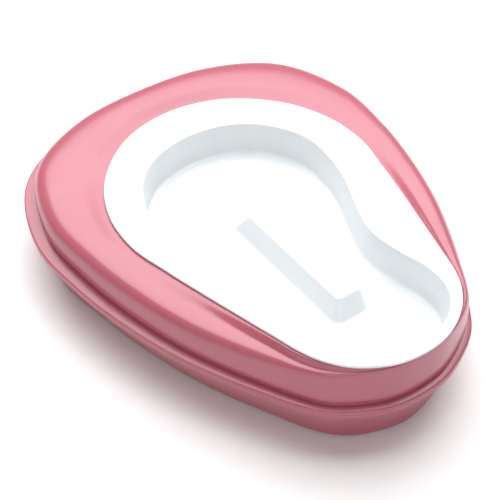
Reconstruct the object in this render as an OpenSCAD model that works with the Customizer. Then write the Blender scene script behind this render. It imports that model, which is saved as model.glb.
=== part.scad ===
// Bedpan with a lift-off lid.
// A deep tray flares out to a rim. The seat shell's flange is welded down on that rim, and the lid
// drops into the seat's keyhole opening. +X points to the narrow front end, +Z is up and the tray
// stands on Z = 0.

/* [Plan] */
// Overall size of the plan outlines, relative to the standard adult pan
plan_scale = 1.0; // [0.9:0.01:1.1]
// Points on each spline segment of an outline
segment_steps = 4; // [3:1:5]

/* [Heights] */
// Height of the flange's top face above the floor
flange_h = 48.5; // [44:0.5:60]
// Height of the lid's top face above the floor, at X = 0
lid_h = 77.1; // [72:0.1:90]
// Rise of the lid's top face towards the front, per millimetre
lid_slope = 0.06; // [0:0.01:0.08]

/* [Seat] */
// Wall thickness of the seat shell
seat_t = 2; // [1.6:0.1:2.2]
// Squareness of the seat's shoulder, where 2 is an ellipse
shoulder_power = 3.6; // [2.4:0.1:4]
// Where the seat's crest lies, from 0 at the lid's edge to 1 at the side wall
crest_place = 0.35; // [0.3:0.05:0.5]
// Height of the crest above the lid's top face, at the sides
crest_rise = -3.2; // [-3.5:0.1:0]
// How much higher than that the crest is at the back, and lower at the front
crest_swing = 5; // [3:0.1:5.5]
// Depth of the collar that hangs from the seat's opening
collar_depth = 12; // [8:1:16]

// Mean width of the seat's flange outside its wall
ledge_w = 7; // [6:0.5:8]
// How much wider than that the flange is at the back, and narrower at the front
ledge_swing = 3; // [0:0.1:3.4]
// Thickness of the seat's flange, at the foot of the wall
flange_t = 3.5; // [3.2:0.1:4]

/* [Tray] */
// Wall thickness of the tray
tray_t = 3; // [2.5:0.1:3.5]
// Radius of the tray's outer bottom edge
tray_r = 5; // [4.5:0.5:6.5]
// Height of the rim's outer face
rim_h = 3; // [2:0.5:4]
// Height of the flare, from the waist up to the rim
flare_h = 24; // [20:0.5:26]
// How far the waist lies inside the rim's outer face
flare_w = 13; // [12:0.5:15]

/* [Lid] */
// Thickness of the lid's sheet
lid_t = 2; // [1.5:0.1:2.2]
// Height of the lid's outer edge
lid_edge_h = 2.2; // [2.1:0.1:3]
// Depth of the recess, from the lid's top face down to its floor
recess_depth = 30.4; // [26:0.2:32]
// How far the rim dips from its outer edge to the recess
rim_dip = 2.6; // [1:0.1:3]
// Height of the grip bar above the recess's floor
grip_h = 18.4; // [14:0.2:22]
// Width of the grip bar's top
grip_w = 20; // [16:1:24]
// Width of the grip bar's foot
grip_foot_w = 30; // [26:1:34]

/* [Hidden] */
pink = [0.87, 0.55, 0.60];
deep_pink = [0.82, 0.47, 0.53];
white = [0.96, 0.97, 0.97];
// Clearance between the lid and the seat, and all round the recess in the opening
seat_gap = 0.2;
opening_gap = 1.2;
// Centre of the plan, from which angles round the outline are taken
plan_centre_x = 15;
// Half outlines from the front tip to the back tip, one point per station
lid_half = [[184.5, 0], [181, 22.5], [168.5, 44], [153, 57.5], [136, 65.5], [110.5, 72.5],
    [80.5, 80.5], [50, 88.5], [19, 96], [-17, 103], [-57, 98.5], [-95, 79],
    [-125, 43.5], [-135.5, 0]];
wall_half = [[183.5, 0], [181, 22], [172, 43], [160.5, 60], [146, 71.5], [125, 84],
    [97, 99], [63, 114], [22, 126.5], [-27, 136], [-83.5, 138], [-141, 114],
    [-171, 62], [-178, 0]];
recess_half = [[175, 0], [171.5, 22.5], [161, 40.5], [143.5, 51.5], [121, 53], [97, 47.5],
    [70, 45], [46, 51.5], [15, 64], [-12, 71], [-45, 72], [-76, 56.5],
    [-95, 32], [-101.5, 0]];
// How far outside the lid's edge the flat deck under the rim ends, one value per station
deck_reach = [-2.4, -2, -1, 0, 1, 1, 1, 1, 1, 1, 1, 1, 1, 1];
// How far the foot of the tray's wall lies inside the seat's wall, one value per station
tray_inset = [9.5, 11, 10.5, 12.5, 13, 14, 14, 14, 13, 11.5, 6.5, 6.5, 6.5, 6.5];
// How much the crest rises again towards the front tip, one value per station
crest_lift = [4, 3.7, 2.4, 0.8, 0, 0, 0, 0, 0, 0, 0, 0, 0, 0];
// Steps round the seat's shoulder and each rounded edge
shoulder_steps = 9;
dish_steps = 4;
edge_steps = 5;
grip_r = 6;

// A point on the Catmull-Rom spline through b and c
function spline(a, b, c, d, t) = 0.5 * (2 * b + (c - a) * t
    + (2 * a - 5 * b + 4 * c - d) * t * t + (3 * b - a - 3 * c + d) * t * t * t);
function mix(a, b, t) = a + (b - a) * t;
function smooth(t) = t * t * (3 - 2 * t);
function flip(p) = [p[0], -p[1]];
// The whole closed outline from its half, anticlockwise from the front tip
function closed(half) = let (n = len(half))
    [each half, for (i = [n - 2:-1:1]) flip(half[i])];
// A smooth closed ring of points through an outline's stations
function ring(half) = let (c = closed(half) * plan_scale, n = len(c))
    [for (i = [0:n - 1], k = [0:segment_steps - 1])
        spline(c[(i + n - 1) % n], c[i], c[(i + 1) % n], c[(i + 2) % n], k / segment_steps)];
// Values given per half-outline station, spread round the ring
function spread(values) = let (n = len(values), c = [each values, for (i = [n - 2:-1:1]) values[i]],
        m = len(c))
    [for (i = [0:m - 1], k = [0:segment_steps - 1])
        c[i] + (c[(i + 1) % m] - c[i]) * k / segment_steps];
function along(p, q) = (q - p) / norm(q - p);
// The ring's points moved outwards by d, a number or one number per point
function grow(r, d) = let (n = len(r))
    [for (i = [0:n - 1]) let (u = along(r[(i + n - 1) % n], r[(i + 1) % n]))
        r[i] + [u[1], -u[0]] * (is_list(d) ? d[i] : d)];
// 1 at the front tip, -1 at the back tip
function front(p) = let (v = p - [plan_centre_x, 0]) v[0] / norm(v);
function lid_plane(p) = lid_h + lid_slope * p[0];
// A ring lifted to a level, or to a height relative to the lid's top face
function at_z(r, z) = [for (p = r) [p[0], p[1], z]];
function at_lid(r, dz) = [for (p = r) [p[0], p[1], lid_plane(p) + dz]];

lid_ring = ring(lid_half);
wall_ring = ring(wall_half);
recess_ring = ring(recess_half);
deck_ring = grow(lid_ring, spread(deck_reach));
opening_ring = grow(recess_ring, lid_t + opening_gap);
ledge_ring = grow(wall_ring, [for (p = wall_ring) ledge_w - ledge_swing * front(p)]);

// Triangles between two neighbouring rings of n points
function band(lower, upper, n) = [for (i = [0:n - 1]) let (j = (i + 1) % n)
    each [[lower * n + i, upper * n + j, lower * n + j], [lower * n + i, upper * n + i, upper * n + j]]];

// A solid skinned over rings that start and end in flat caps
module capped_loft(rings) {
    n = len(rings[0]);
    m = len(rings);
    polyhedron(
        points = [for (r = rings) each r],
        faces = [
            [for (i = [0:n - 1]) i],
            for (k = [0:m - 2]) each band(k, k + 1, n),
            [for (i = [n - 1:-1:0]) (m - 1) * n + i]
        ],
        convexity = 10);
}

// A solid skinned over rings that run round a section and close on themselves
module closed_loft(rings) {
    n = len(rings[0]);
    m = len(rings);
    polyhedron(
        points = [for (r = rings) each r],
        faces = [for (k = [0:m - 1]) each band(k, (k + 1) % m, n)],
        convexity = 10);
}

// ---- tray ----

rim_z = flange_h - flange_t;
waist_z = rim_z - rim_h - flare_h;
waist_ring = grow(ledge_ring, -flare_w);
foot_ring = grow(wall_ring, [for (f = spread(tray_inset)) -f]);

// The outside of the wall at height z, up to the waist, moved in by an inset
function tray_wall(z, inset = 0) = at_z(grow(mix(foot_ring, waist_ring, z / waist_z), -inset), z);

// The flare's outside at a height above the waist, moved in by an inset
function flare(up, inset = 0) = at_z(grow(waist_ring, up * flare_w / flare_h - inset), waist_z + up);
// The curve that joins the wall and the flare at the waist
function waist(t, inset) = let (
        low = tray_wall(mix(tray_r, waist_z, 0.3), inset),
        mid = flare(0, inset),
        high = flare(9, inset * 1.1))
    mix(mix(low, mid, t), mix(mid, high, t), t);

// The outside from the floor up to the rim, then down the inside
function tray_rings() = [
    for (k = [0:edge_steps]) let (a = 90 * k / edge_steps)
        tray_wall(tray_r * (1 - cos(a)), tray_r * (1 - sin(a))),
    for (t = [0:0.25:1]) waist(t, 0),
    flare(flare_h - 1.6),
    at_z(grow(ledge_ring, -0.3), rim_z - rim_h + 0.2),
    at_z(ledge_ring, rim_z - rim_h + 1.2),
    at_z(ledge_ring, rim_z - 0.3),
    at_z(grow(ledge_ring, -0.3), rim_z),
    at_z(grow(ledge_ring, -tray_t * 1.2), rim_z),
    for (t = [1:-0.25:0]) waist(t, tray_t),
    for (k = [0:edge_steps]) let (a = 90 * k / edge_steps, r = tray_r - tray_t)
        tray_wall(tray_t + r * (1 - sin(a)), tray_t + r * (1 - cos(a)))
];

module base_pan() {
    color(deep_pink) capped_loft(tray_rings());
}

// ---- seat ----

deck_dz = -lid_edge_h - seat_gap;
mouth_dz = deck_dz - rim_dip;
crest_ring = mix(deck_ring, wall_ring, crest_place);
lift = spread(crest_lift);
// Heights of the crest above the lid's top face, round the ring
crest_dz = [for (i = [0:len(crest_ring) - 1])
    crest_rise - crest_swing * front(crest_ring[i]) + lift[i]];

// The shoulder's section at angle a, from the crest at 0 to the foot of the wall at 90
function shoulder(a, inset) = let (
        out = crest_place + (1 - crest_place) * pow(sin(a), 2 / shoulder_power),
        up = pow(cos(a), 2 / shoulder_power),
        flat = grow(mix(deck_ring, wall_ring, out), -inset * sin(a)))
    [for (i = [0:len(flat) - 1]) let (top = lid_plane(crest_ring[i]) + crest_dz[i])
        [flat[i][0], flat[i][1], mix(flange_h + 5, top, up) - inset * cos(a)]];

// The dish between the deck's edge and the crest
function dish(t, drop) = [for (i = [0:len(deck_ring) - 1]) let (
        p = mix(deck_ring[i], wall_ring[i], crest_place * t))
    [p[0], p[1], lid_plane(p) + mix(deck_dz, crest_dz[i], smooth(t)) - drop]];

shoulder_angles = [for (k = [0:shoulder_steps]) 90 * pow(k / shoulder_steps, 1.15)];

function seat_rings() = [
    // flange, and the groove at the foot of the wall
    at_z(grow(ledge_ring, -0.3), rim_z),
    at_z(ledge_ring, rim_z + 0.3),
    at_z(ledge_ring, flange_h - 2.2),
    at_z(grow(ledge_ring, -0.4), flange_h - 1.5),
    at_z(grow(ledge_ring, -1.4), flange_h - 1.1),
    at_z(grow(wall_ring, 0.4), flange_h - 0.3),
    at_z(grow(wall_ring, -1.4), flange_h),
    at_z(grow(wall_ring, -2.1), flange_h + 0.7),
    at_z(grow(wall_ring, -1.5), flange_h + 2),
    at_z(grow(wall_ring, -0.5), flange_h + 3.6),
    // wall, shoulder, dish and deck
    for (k = [shoulder_steps:-1:0]) shoulder(shoulder_angles[k], 0),
    for (k = [dish_steps - 1:-1:0]) dish(k / dish_steps, 0),
    at_lid(grow(opening_ring, 1.6), mouth_dz + 0.2),
    // rounded mouth and collar
    at_lid(grow(opening_ring, 0.5), mouth_dz - 0.3),
    at_lid(opening_ring, mouth_dz - 1.4),
    at_lid(opening_ring, mouth_dz - collar_depth),
    at_lid(grow(opening_ring, 1.6), mouth_dz - collar_depth),
    at_lid(grow(opening_ring, 1.7), mouth_dz - seat_t),
    // underside of the deck, and the inside of the shoulder and wall
    dish(0, seat_t),
    for (k = [1:dish_steps - 1]) dish(k / dish_steps, seat_t),
    for (k = [0:shoulder_steps]) shoulder(shoulder_angles[k], seat_t),
    at_z(grow(wall_ring, -seat_t - 1.6), flange_h + 2.6),
    at_z(grow(wall_ring, -seat_t - 2.4), flange_h),
    at_z(grow(wall_ring, -seat_t - 2.4), rim_z)
];

module seat_shell() {
    color(pink) closed_loft(seat_rings());
}

// ---- lid ----

function rim(t, drop) = [for (i = [0:len(lid_ring) - 1])
    let (p = mix(grow(lid_ring, -1)[i], grow(recess_ring, 1.6)[i], t))
    [p[0], p[1], lid_plane(p) - rim_dip * t * t - drop]];

// The underside from the recess's floor out to the edge, then the top back to the floor
function lid_rings() = [
    at_lid(grow(recess_ring, -4), -recess_depth - lid_t),
    at_lid(grow(recess_ring, -1.2), -recess_depth - lid_t * 0.9),
    at_lid(grow(recess_ring, 0.6), -recess_depth),
    at_lid(grow(recess_ring, 1.2), -recess_depth + 4),
    at_lid(grow(recess_ring, lid_t), -rim_dip - lid_t - 1),
    at_lid(grow(recess_ring, lid_t + 0.6), -rim_dip - lid_t),
    at_lid([for (i = [0:len(lid_ring) - 1])
        mix(grow(lid_ring, -3.2)[i], grow(recess_ring, lid_t + 0.6)[i], 0.5)],
        -rim_dip * 0.25 - lid_t),
    at_lid(grow(lid_ring, -3), -lid_edge_h + 0.5),
    at_lid(grow(lid_ring, -2.4), -lid_edge_h),
    at_lid(grow(lid_ring, -0.4), -lid_edge_h),
    at_lid(lid_ring, -lid_edge_h + 0.4),
    at_lid(lid_ring, -0.9),
    at_lid(grow(lid_ring, -0.3), -0.3),
    for (t = [0, 0.33, 0.67, 1]) rim(t, 0),
    at_lid(grow(recess_ring, 0.5), -rim_dip - 0.4),
    at_lid(recess_ring, -rim_dip - 1.6),
    at_lid(grow(recess_ring, -0.8), -recess_depth + 4),
    at_lid(grow(recess_ring, -1.6), -recess_depth + 1.4),
    at_lid(grow(recess_ring, -4), -recess_depth)
];

// A rounded rectangle from x0 to x1, with half width hw and corner radius r
function bar_ring(x0, x1, hw, r) = [for (c = [[x1, hw, 0], [x0, hw, 90], [x0, -hw, 180], [x1, -hw, 270]],
        a = [0:15:90])
    [c[0] + (c[0] == x1 ? -r : r) + r * cos(c[2] + a), c[1] + (c[1] > 0 ? -r : r) + r * sin(c[2] + a)]];

// The grip bar's solid: a steep front end, a ramped back end and drafted sides
module grip(inset, foot_drop) {
    top = -recess_depth + grip_h - inset;
    foot = -recess_depth - foot_drop;
    lean = (grip_foot_w - grip_w) / 2;
    capped_loft([
        at_lid(bar_ring(-20 + inset, 110 - inset, grip_w / 2 + lean - inset, grip_r), foot),
        at_lid(bar_ring(-6.5 + inset, 104.5 - inset, grip_w / 2 + 0.6 - inset, grip_r - 1), top - 1.6),
        at_lid(bar_ring(-5 + inset, 103.5 - inset, grip_w / 2 - 0.4 - inset, grip_r - 2), top - 0.5),
        at_lid(bar_ring(-3 + inset, 102 - inset, grip_w / 2 - 2 - inset, grip_r - 3), top)
    ]);
}

module lid() {
    color(white) difference() {
        union() {
            capped_loft(lid_rings());
            grip(0, lid_t / 2);
        }
        grip(lid_t, lid_t + 2);
    }
}

base_pan();
seat_shell();
lid();
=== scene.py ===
"""A bedpan with a lift-off lid: smooth moulded shells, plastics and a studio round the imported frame.

Outlines and sections are in millimetres, as in the part's design, and meshes are in metres.
"""

import math

import bmesh
import bpy
import numpy as np
from mathutils import Matrix, Vector


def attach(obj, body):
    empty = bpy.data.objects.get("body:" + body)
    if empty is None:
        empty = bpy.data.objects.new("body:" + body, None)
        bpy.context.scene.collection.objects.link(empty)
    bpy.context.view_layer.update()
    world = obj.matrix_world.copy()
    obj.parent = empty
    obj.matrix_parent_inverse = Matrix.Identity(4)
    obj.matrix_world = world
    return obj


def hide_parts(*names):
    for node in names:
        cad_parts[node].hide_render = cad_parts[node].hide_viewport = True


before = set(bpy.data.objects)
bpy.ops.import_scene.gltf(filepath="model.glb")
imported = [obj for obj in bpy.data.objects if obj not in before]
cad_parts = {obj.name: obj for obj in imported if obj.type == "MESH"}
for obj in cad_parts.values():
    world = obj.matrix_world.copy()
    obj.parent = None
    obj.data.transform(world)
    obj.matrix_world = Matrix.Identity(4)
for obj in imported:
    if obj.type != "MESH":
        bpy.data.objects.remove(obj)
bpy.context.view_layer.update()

MM = 0.001

# ---- outlines, one point per station from the front tip to the back tip ----

LID_HALF = [
    (184.5, 0), (181, 22.5), (168.5, 44), (153, 57.5), (136, 65.5), (110.5, 72.5), (80.5, 80.5),
    (50, 88.5), (19, 96), (-17, 103), (-57, 98.5), (-95, 79), (-125, 43.5), (-135.5, 0),
]
WALL_HALF = [
    (183.5, 0), (181, 22), (172, 43), (160.5, 60), (146, 71.5), (125, 84), (97, 99),
    (63, 114), (22, 126.5), (-27, 136), (-83.5, 138), (-141, 114), (-171, 62), (-178, 0),
]
RECESS_HALF = [
    (175, 0), (171.5, 22.5), (161, 40.5), (143.5, 51.5), (121, 53), (97, 47.5), (70, 45),
    (46, 51.5), (15, 64), (-12, 71), (-45, 72), (-76, 56.5), (-95, 32), (-101.5, 0),
]
DECK_REACH = [-2.4, -2, -1, 0, 1, 1, 1, 1, 1, 1, 1, 1, 1, 1]
TRAY_INSET = [9.5, 11, 10.5, 12.5, 13, 14, 14, 14, 13, 11.5, 6.5, 6.5, 6.5, 6.5]
CREST_LIFT = [4, 3.7, 2.4, 0.8, 0, 0, 0, 0, 0, 0, 0, 0, 0, 0]
SPLINE_STEPS = 12

# ---- sizes, as in the design ----

FLANGE_H, FLANGE_T, LEDGE_W, LEDGE_SWING = 48.5, 3.5, 7, 3
LID_H, LID_SLOPE = 77.1, 0.06
LID_T, LID_EDGE_H, RIM_DIP, RECESS_DEPTH = 2, 2.2, 2.6, 30.4
SEAT_T, SHOULDER_POWER, CREST_PLACE, CREST_RISE, CREST_SWING = 2, 3.6, 0.35, -3.2, 5
SEAT_GAP, OPENING_GAP, COLLAR_DEPTH = 0.2, 1.2, 12
TRAY_T, TRAY_R, RIM_H, FLARE_H, FLARE_W = 3, 5, 3, 24, 13
PLAN_CENTRE_X = 15
GRIP_H = 18.4
# The grip bar's rounded rectangles: its ends along X, its half width and its corner radius
GRIP_FOOT = (-20.5, 110.5, 15.2, 6.5)
GRIP_SHOULDER = (-5.5, 104, 10.2, 4.5)
GRIP_TOP = (-1, 99.5, 5.5, 3.2)
RIM_Z = FLANGE_H - FLANGE_T
WAIST_Z = RIM_Z - RIM_H - FLARE_H
DECK_DZ = -LID_EDGE_H - SEAT_GAP
MOUTH_DZ = DECK_DZ - RIM_DIP


def spline_round(points):
    """A closed Catmull-Rom spline through the rows of points."""
    t = (np.arange(SPLINE_STEPS) / SPLINE_STEPS)[None, :, None]
    a, b, c, d = (np.roll(points, k, 0)[:, None] for k in (1, 0, -1, -2))
    curve = b + (c - a) * t / 2 + (2 * a - 5 * b + 4 * c - d) * t**2 / 2
    curve = curve + (3 * b - a - 3 * c + d) * t**3 / 2
    return curve.reshape(-1, points.shape[1])


def ring(half):
    """The whole smooth outline, anticlockwise from the front tip."""
    half = np.array(half, float)
    return spline_round(np.vstack([half, half[-2:0:-1] * (1, -1)]))


def spread(values):
    """A value for each point of a ring, from one value per station."""
    values = np.array(values, float)[:, None]
    return spline_round(np.vstack([values, values[-2:0:-1]]))[:, 0]


def grow(outline, distance):
    """The outline moved outwards by a distance, or by one distance per point."""
    along = np.roll(outline, -1, 0) - np.roll(outline, 1, 0)
    along /= np.linalg.norm(along, axis=1)[:, None]
    outwards = np.stack([along[:, 1], -along[:, 0]], 1)
    return outline + outwards * np.broadcast_to(distance, len(outline))[:, None]


def mix(a, b, t):
    return a + (b - a) * t


def front(outline):
    """1 at the front tip and -1 at the back tip."""
    arm = outline - (PLAN_CENTRE_X, 0)
    return arm[:, 0] / np.linalg.norm(arm, axis=1)


def lid_plane(outline):
    return LID_H + LID_SLOPE * outline[:, 0]


def at_z(outline, z):
    return np.column_stack([outline, np.broadcast_to(z, len(outline))])


def at_lid(outline, dz):
    return at_z(outline, lid_plane(outline) + dz)


LID = ring(LID_HALF)
WALL = ring(WALL_HALF)
RECESS = ring(RECESS_HALF)
DECK = grow(LID, spread(DECK_REACH))
OPENING = grow(RECESS, LID_T + OPENING_GAP)
LEDGE = grow(WALL, LEDGE_W - LEDGE_SWING * front(WALL))
WAIST = grow(LEDGE, -FLARE_W)
FOOT = grow(WALL, -spread(TRAY_INSET))


# ---- mesh building ----

def rounded(corners, closed=False, steps=6):
    """Rings along a section of (ring, rounding) corners. A rounding of 0 keeps the ring as it is."""
    rings = []
    count = len(corners)
    for i, (here, rounding) in enumerate(corners):
        inner = closed or 0 < i < count - 1
        if not rounding or not inner:
            rings.append(here)
            continue
        before, after = corners[i - 1][0], corners[(i + 1) % count][0]
        ends = []
        for other in (before, after):
            away = other - here
            length = np.linalg.norm(away, axis=1)[:, None]
            ends.append(here + away / length * np.minimum(rounding, 0.48 * length))
        for t in np.linspace(0, 1, steps):
            rings.append((1 - t) ** 2 * ends[0] + 2 * t * (1 - t) * here + t**2 * ends[1])
    return rings


def cap_rings(edge, scales=(0.75, 0.5, 0.25, 0.06)):
    """Rings that close a flat cap towards its middle, from the edge inwards."""
    middle = edge.mean(0)
    return [middle + (edge - middle) * s for s in scales]


def loft(name, rings, closed=False):
    """A mesh skinned over rings. It is closed round its section, or ends in small flat faces."""
    mesh = bmesh.new()
    rows = [[mesh.verts.new(Vector(p) * MM) for p in r] for r in rings]
    pairs = list(zip(rows, rows[1:]))
    if closed:
        pairs.append((rows[-1], rows[0]))
    for low, high in pairs:
        for i in range(len(low)):
            j = (i + 1) % len(low)
            mesh.faces.new((low[i], low[j], high[j], high[i]))
    if not closed:
        mesh.faces.new(rows[0][::-1])
        mesh.faces.new(rows[-1])
    bmesh.ops.recalc_face_normals(mesh, faces=mesh.faces)
    for face in mesh.faces:
        face.smooth = True
    data = bpy.data.meshes.new(name)
    mesh.to_mesh(data)
    mesh.free()
    piece = bpy.data.objects.new(name, data)
    bpy.context.scene.collection.objects.link(piece)
    return piece


# ---- tray ----

def tray_wall(z, inset=0.0):
    """The tray's outside at height z, up to the waist, moved in by an inset."""
    return at_z(grow(mix(FOOT, WAIST, z / WAIST_Z), -inset), z)


def tray_rings():
    corners = [
        (tray_wall(0, 16), 0),
        (tray_wall(0), TRAY_R),
        (tray_wall(WAIST_Z), 10),
        (at_z(LEDGE, RIM_Z - RIM_H), 2.2),
        (at_z(LEDGE, RIM_Z), 0.3),
        (at_z(grow(LEDGE, -TRAY_T * 1.2), RIM_Z), 0.5),
        (at_z(grow(WAIST, -TRAY_T), WAIST_Z), 9),
        (tray_wall(TRAY_T, TRAY_T), TRAY_R - TRAY_T + 1),
        (tray_wall(TRAY_T, TRAY_T + 13), 0),
    ]
    rings = rounded(corners)
    return cap_rings(rings[0])[::-1] + rings + cap_rings(rings[-1])


# ---- seat ----

CREST = mix(DECK, WALL, CREST_PLACE)
CREST_DZ = CREST_RISE - CREST_SWING * front(CREST) + spread(CREST_LIFT)
CREST_Z = lid_plane(CREST) + CREST_DZ


def shoulder(angle, inset=0.0):
    """The shoulder's ring at an angle from the crest, 0, to the foot of the wall, a right angle."""
    sine, cosine = math.sin(angle), max(math.cos(angle), 0.0)
    out = CREST_PLACE + (1 - CREST_PLACE) * sine ** (2 / SHOULDER_POWER)
    flat = grow(mix(DECK, WALL, out), -inset * sine)
    return at_z(flat, mix(FLANGE_H + 5, CREST_Z, cosine ** (2 / SHOULDER_POWER)) - inset * cosine)


def dish(t, drop=0.0):
    """The ring at t from the deck's edge, 0, to the crest, 1."""
    flat = mix(DECK, WALL, CREST_PLACE * t)
    ease = t * t * (3 - 2 * t)
    return at_z(flat, lid_plane(flat) + mix(DECK_DZ, CREST_DZ, ease) - drop)


def seat_rings():
    angles = math.pi / 2 * np.linspace(0, 1, 36) ** 1.15
    outside = [(shoulder(a), 0) for a in angles[::-1]]
    outside += [(dish(t), 0) for t in np.linspace(0.9, 0, 10)]
    inside = [(dish(t, SEAT_T), 0) for t in (0, 0.3, 0.6)]
    inside += [(shoulder(a, SEAT_T), 0) for a in angles[::3]]
    corners = [
        (at_z(LEDGE, RIM_Z), 0.3),
        (at_z(LEDGE, FLANGE_H - 1.2), 1.4),
        (at_z(grow(WALL, 0.4), FLANGE_H - 0.3), 1),
        (at_z(grow(WALL, -2.4), FLANGE_H), 1.6),
        (at_z(grow(WALL, -0.3), FLANGE_H + 3.8), 3),
        *outside,
        (at_lid(mix(DECK, grow(OPENING, 1.6), 0.5), mix(DECK_DZ, MOUTH_DZ, 0.5)), 0),
        (at_lid(OPENING, MOUTH_DZ), 1.4),
        (at_lid(OPENING, MOUTH_DZ - COLLAR_DEPTH), 0.5),
        (at_lid(grow(OPENING, 1.6), MOUTH_DZ - COLLAR_DEPTH), 0.5),
        (at_lid(grow(OPENING, 1.7), MOUTH_DZ - SEAT_T), 0.8),
        *inside,
        (at_z(grow(WALL, -SEAT_T - 1.6), FLANGE_H + 2.6), 1),
        (at_z(grow(WALL, -SEAT_T - 2.4), FLANGE_H), 1),
        (at_z(grow(WALL, -SEAT_T - 2.4), RIM_Z), 0.3),
    ]
    return rounded(corners, closed=True)


# ---- lid ----

def rim(t, drop=0.0):
    """The lid's rim from its outer edge, 0, to the recess, 1."""
    flat = mix(LID, RECESS, t)
    return at_lid(flat, -RIM_DIP * t * t - drop)


def bar_ring(rectangle, inset=0):
    """A rounded rectangle, moved in by an inset. Each of its points faces a point of the recess."""
    x0, x1, half_w, rounding = rectangle
    x0, x1, half_w, rounding = x0 + inset, x1 - inset, half_w - inset, rounding - inset
    low = np.array([x0 + rounding, rounding - half_w])
    high = np.array([x1 - rounding, half_w - rounding])
    core = np.clip(RECESS, low, high)
    arm = RECESS - core
    return core + arm / np.linalg.norm(arm, axis=1)[:, None] * rounding


def bar_corners(shell, floor_dz, foot_rounding):
    """The grip bar's section from foot to top: its outside for a shell of 0, else the hollow inside it."""
    top = -RECESS_DEPTH + GRIP_H - shell
    return [
        (at_lid(bar_ring(GRIP_FOOT, shell), floor_dz), foot_rounding),
        (at_lid(bar_ring(GRIP_SHOULDER, shell), top), 2.2 - 0.5 * shell),
        (at_lid(bar_ring(GRIP_TOP, shell), top), 0),
    ]


def lid_rings():
    under = -RECESS_DEPTH - LID_T
    floor_edge = at_lid(grow(RECESS, -2), -RECESS_DEPTH)
    between = at_lid(mix(grow(RECESS, -2), bar_ring(GRIP_FOOT), 0.5), -RECESS_DEPTH)
    corners = [
        *bar_corners(LID_T, under, 1)[::-1],
        (at_lid(mix(RECESS, bar_ring(GRIP_FOOT), 0.5), under), 0),
        (at_lid(grow(RECESS, 0.3), under), 4),
        (at_lid(grow(RECESS, LID_T), -RIM_DIP - LID_T), 1),
        (rim(0.5, LID_T), 0),
        (at_lid(grow(LID, -3), -LID_T), 0.8),
        (at_lid(grow(LID, -2.6), -LID_EDGE_H), 0.3),
        (at_lid(LID, -LID_EDGE_H), 0.5),
        (rim(0), 2),
        *[(rim(t), 0) for t in np.linspace(0.12, 0.9, 12)],
        (rim(1), 1.4),
        (floor_edge, 4),
        (between, 0),
        *bar_corners(0, -RECESS_DEPTH, 2.4),
    ]
    rings = rounded(corners)
    return cap_rings(rings[0], (0.6, 0.2))[::-1] + rings + cap_rings(rings[-1], (0.6, 0.2))


# ---- materials ----

def add(tree, kind, **inputs):
    """A shader node with its named inputs set, each to a value or to another node's output."""
    node = tree.nodes.new(kind)
    for key, value in inputs.items():
        socket = node.inputs[key.replace("_", " ")]
        if isinstance(value, bpy.types.NodeSocket):
            tree.links.new(value, socket)
        else:
            socket.default_value = value
    return node


def ramp(tree, factor, stops):
    """A colour ramp over factor with (position, colour) stops."""
    node = tree.nodes.new("ShaderNodeValToRGB")
    tree.links.new(factor, node.inputs["Fac"])
    elements = node.color_ramp.elements
    while len(elements) < len(stops):
        elements.new(0.5)
    for element, (position, colour) in zip(elements, stops):
        element.position = position
        element.color = (*colour, 1)
    return node.outputs["Color"]


def scaled(colour, k):
    return tuple(c * k for c in colour)


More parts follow.
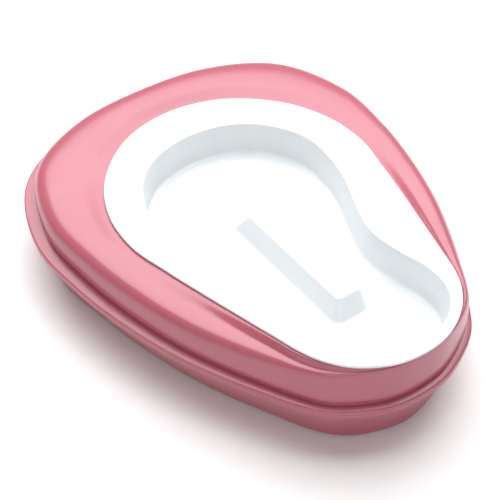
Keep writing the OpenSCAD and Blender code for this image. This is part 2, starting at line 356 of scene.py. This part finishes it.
def moulded_plastic(name, colour, rough, peel, scatter):
    """Glossy moulded plastic with pigment flow, specks, haze, scuffs and an orange-peel skin, all faint."""
    material = bpy.data.materials.new(name)
    material.use_nodes = True
    tree = material.node_tree
    tree.nodes.clear()
    place = tree.nodes.new("ShaderNodeTexCoord").outputs["Object"]

    flow = add(tree, "ShaderNodeTexNoise", Vector=place, Scale=14.0, Detail=4.0, Roughness=0.55,
               Distortion=0.6)
    pigment = ramp(tree, flow.outputs["Fac"],
                   [(0.3, scaled(colour, 0.965)), (0.7, scaled(colour, 1.03))])
    specks = add(tree, "ShaderNodeTexNoise", Vector=place, Scale=900.0, Detail=2.0, Roughness=0.6)
    speck_mask = ramp(tree, specks.outputs["Fac"], [(0.25, (0.93, 0.93, 0.93)), (0.42, (1, 1, 1))])
    blend = add(tree, "ShaderNodeMix")
    blend.data_type = "RGBA"
    blend.blend_type = "MULTIPLY"
    blend.inputs["Factor"].default_value = 1.0
    tree.links.new(pigment, blend.inputs[6])
    tree.links.new(speck_mask, blend.inputs[7])

    haze = add(tree, "ShaderNodeTexNoise", Vector=place, Scale=35.0, Detail=5.0, Roughness=0.6)
    stretch = add(tree, "ShaderNodeMapping", Vector=place, Scale=(60.0, 900.0, 300.0),
                  Rotation=(0.0, 0.0, 0.5))
    scuffs = add(tree, "ShaderNodeTexNoise", Vector=stretch.outputs["Vector"], Scale=1.0, Detail=3.0,
                 Roughness=0.7)
    gloss = add(tree, "ShaderNodeMath", Value=haze.outputs["Fac"])
    gloss.operation = "MULTIPLY_ADD"
    gloss.inputs[1].default_value = 0.12
    gloss.inputs[2].default_value = rough - 0.08
    worn = add(tree, "ShaderNodeMath", Value=scuffs.outputs["Fac"])
    worn.operation = "MULTIPLY_ADD"
    worn.inputs[1].default_value = 0.05
    tree.links.new(gloss.outputs["Value"], worn.inputs[2])

    skin = add(tree, "ShaderNodeTexNoise", Vector=place, Scale=420.0, Detail=2.0, Roughness=0.5)
    sink = add(tree, "ShaderNodeTexNoise", Vector=place, Scale=30.0, Detail=2.0, Roughness=0.5)
    coarse = add(tree, "ShaderNodeBump", Height=sink.outputs["Fac"], Strength=0.06, Distance=0.0008)
    fine = add(tree, "ShaderNodeBump", Height=skin.outputs["Fac"], Strength=peel, Distance=0.00012,
               Normal=coarse.outputs["Normal"])

    shader = add(tree, "ShaderNodeBsdfPrincipled", Base_Color=blend.outputs[2],
                 Roughness=worn.outputs["Value"], Normal=fine.outputs["Normal"], IOR=1.62,
                 Subsurface_Weight=scatter, Subsurface_Scale=0.004, Subsurface_Radius=(1.0, 0.6, 0.5))
    output = tree.nodes.new("ShaderNodeOutputMaterial")
    tree.links.new(shader.outputs["BSDF"], output.inputs["Surface"])
    return material


def floor_material():
    """Pale seamless studio paper."""
    material = bpy.data.materials.new("studio_paper")
    material.use_nodes = True
    tree = material.node_tree
    shader = tree.nodes["Principled BSDF"]
    place = tree.nodes.new("ShaderNodeTexCoord").outputs["Object"]
    grain = add(tree, "ShaderNodeTexNoise", Vector=place, Scale=60.0, Detail=4.0)
    tone = ramp(tree, grain.outputs["Fac"], [(0.3, (0.9, 0.9, 0.9)), (0.7, (0.92, 0.92, 0.92))])
    tree.links.new(tone, shader.inputs["Base Color"])
    shader.inputs["Roughness"].default_value = 0.9
    return material


# ---- pieces ----

PINK = (0.43, 0.100, 0.140)
WHITE = (0.76, 0.785, 0.80)


def finish_piece(piece, material, body, node):
    """Gives a piece its material and its body, and hides the CAD node that it stands for."""
    piece.data.materials.append(material)
    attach(piece, body)
    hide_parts(node)


pink = moulded_plastic("pink_plastic", PINK, 0.24, 0.15, 0.12)
# The tray's pink is the seat's pink made 6% darker: painted shade for the tray, which sits under the seat's
# flange.
painted_shade_pink = moulded_plastic("pink_painted_shade_tray", scaled(PINK, 0.94), 0.30, 0.15, 0.12)
white = moulded_plastic("white_plastic", WHITE, 0.34, 0.2, 0.15)

finish_piece(loft("tray", tray_rings()), painted_shade_pink, "pan", "base_pan")
finish_piece(loft("seat", seat_rings(), closed=True), pink, "pan", "seat_shell")
finish_piece(loft("lid_sheet", lid_rings()), white, "lid", "lid")


# ---- studio ----

def studio_floor():
    """A wide flat floor, just under the plane that the tray stands on."""
    half, level = 6.0, -0.0002
    mesh = bmesh.new()
    corners = [(-half, -half), (half, -half), (half, half), (-half, half)]
    mesh.faces.new([mesh.verts.new((x, y, level)) for x, y in corners])
    data = bpy.data.meshes.new("floor")
    mesh.to_mesh(data)
    mesh.free()
    floor = bpy.data.objects.new("floor", data)
    bpy.context.scene.collection.objects.link(floor)
    floor.data.materials.append(floor_material())


def soft_light(name, place, target, size, power):
    """A rectangular soft box at place, facing target."""
    lamp = bpy.data.lights.new(name, "AREA")
    lamp.shape = "RECTANGLE"
    lamp.size, lamp.size_y = size
    lamp.energy = power
    box = bpy.data.objects.new(name, lamp)
    box.location = place
    box.rotation_euler = (Vector(target) - Vector(place)).to_track_quat("-Z", "Y").to_euler()
    bpy.context.scene.collection.objects.link(box)


def world_light(strength):
    """Even white light from all round."""
    world = bpy.data.worlds.new("studio")
    world.use_nodes = True
    background = world.node_tree.nodes["Background"]
    background.inputs["Color"].default_value = (1, 1, 1, 1)
    background.inputs["Strength"].default_value = strength
    bpy.context.scene.world = world


def camera():
    """The camera stands off the object's front and right side and looks down at it."""
    azimuth, elevation, distance = 0.968, 0.797, 0.9626
    aim = Vector((0.0361, -0.0369, 0.0786))
    back = Vector((math.cos(elevation) * math.sin(azimuth), -math.cos(elevation) * math.cos(azimuth),
                   math.sin(elevation)))
    data = bpy.data.cameras.new("camera")
    data.sensor_width = 36
    data.lens = 98.2
    eye = bpy.data.objects.new("camera", data)
    right = Vector((0, 0, 1)).cross(back).normalized()
    up = back.cross(right)
    turn = Matrix((right, up, back)).transposed().to_4x4()
    eye.matrix_world = Matrix.Translation(aim + distance * back) @ turn
    bpy.context.scene.collection.objects.link(eye)
    bpy.context.scene.camera = eye


studio_floor()
camera()
world_light(0.33)
# The camera looks along this direction in plan, so the big soft box hangs above and beyond the object
away = Vector((-0.824, 0.567, 0))
soft_light("top_soft_box", away * 0.56 + Vector((0, 0, 1.25)), (0, 0, 0.05), (1.9, 1.75), 40)
soft_light("front_fill", away * -1.6 + Vector((0, 0, 0.75)), (0, 0, 0.03), (1.4, 0.9), 6)

bpy.context.scene.view_settings.view_transform = "Standard"
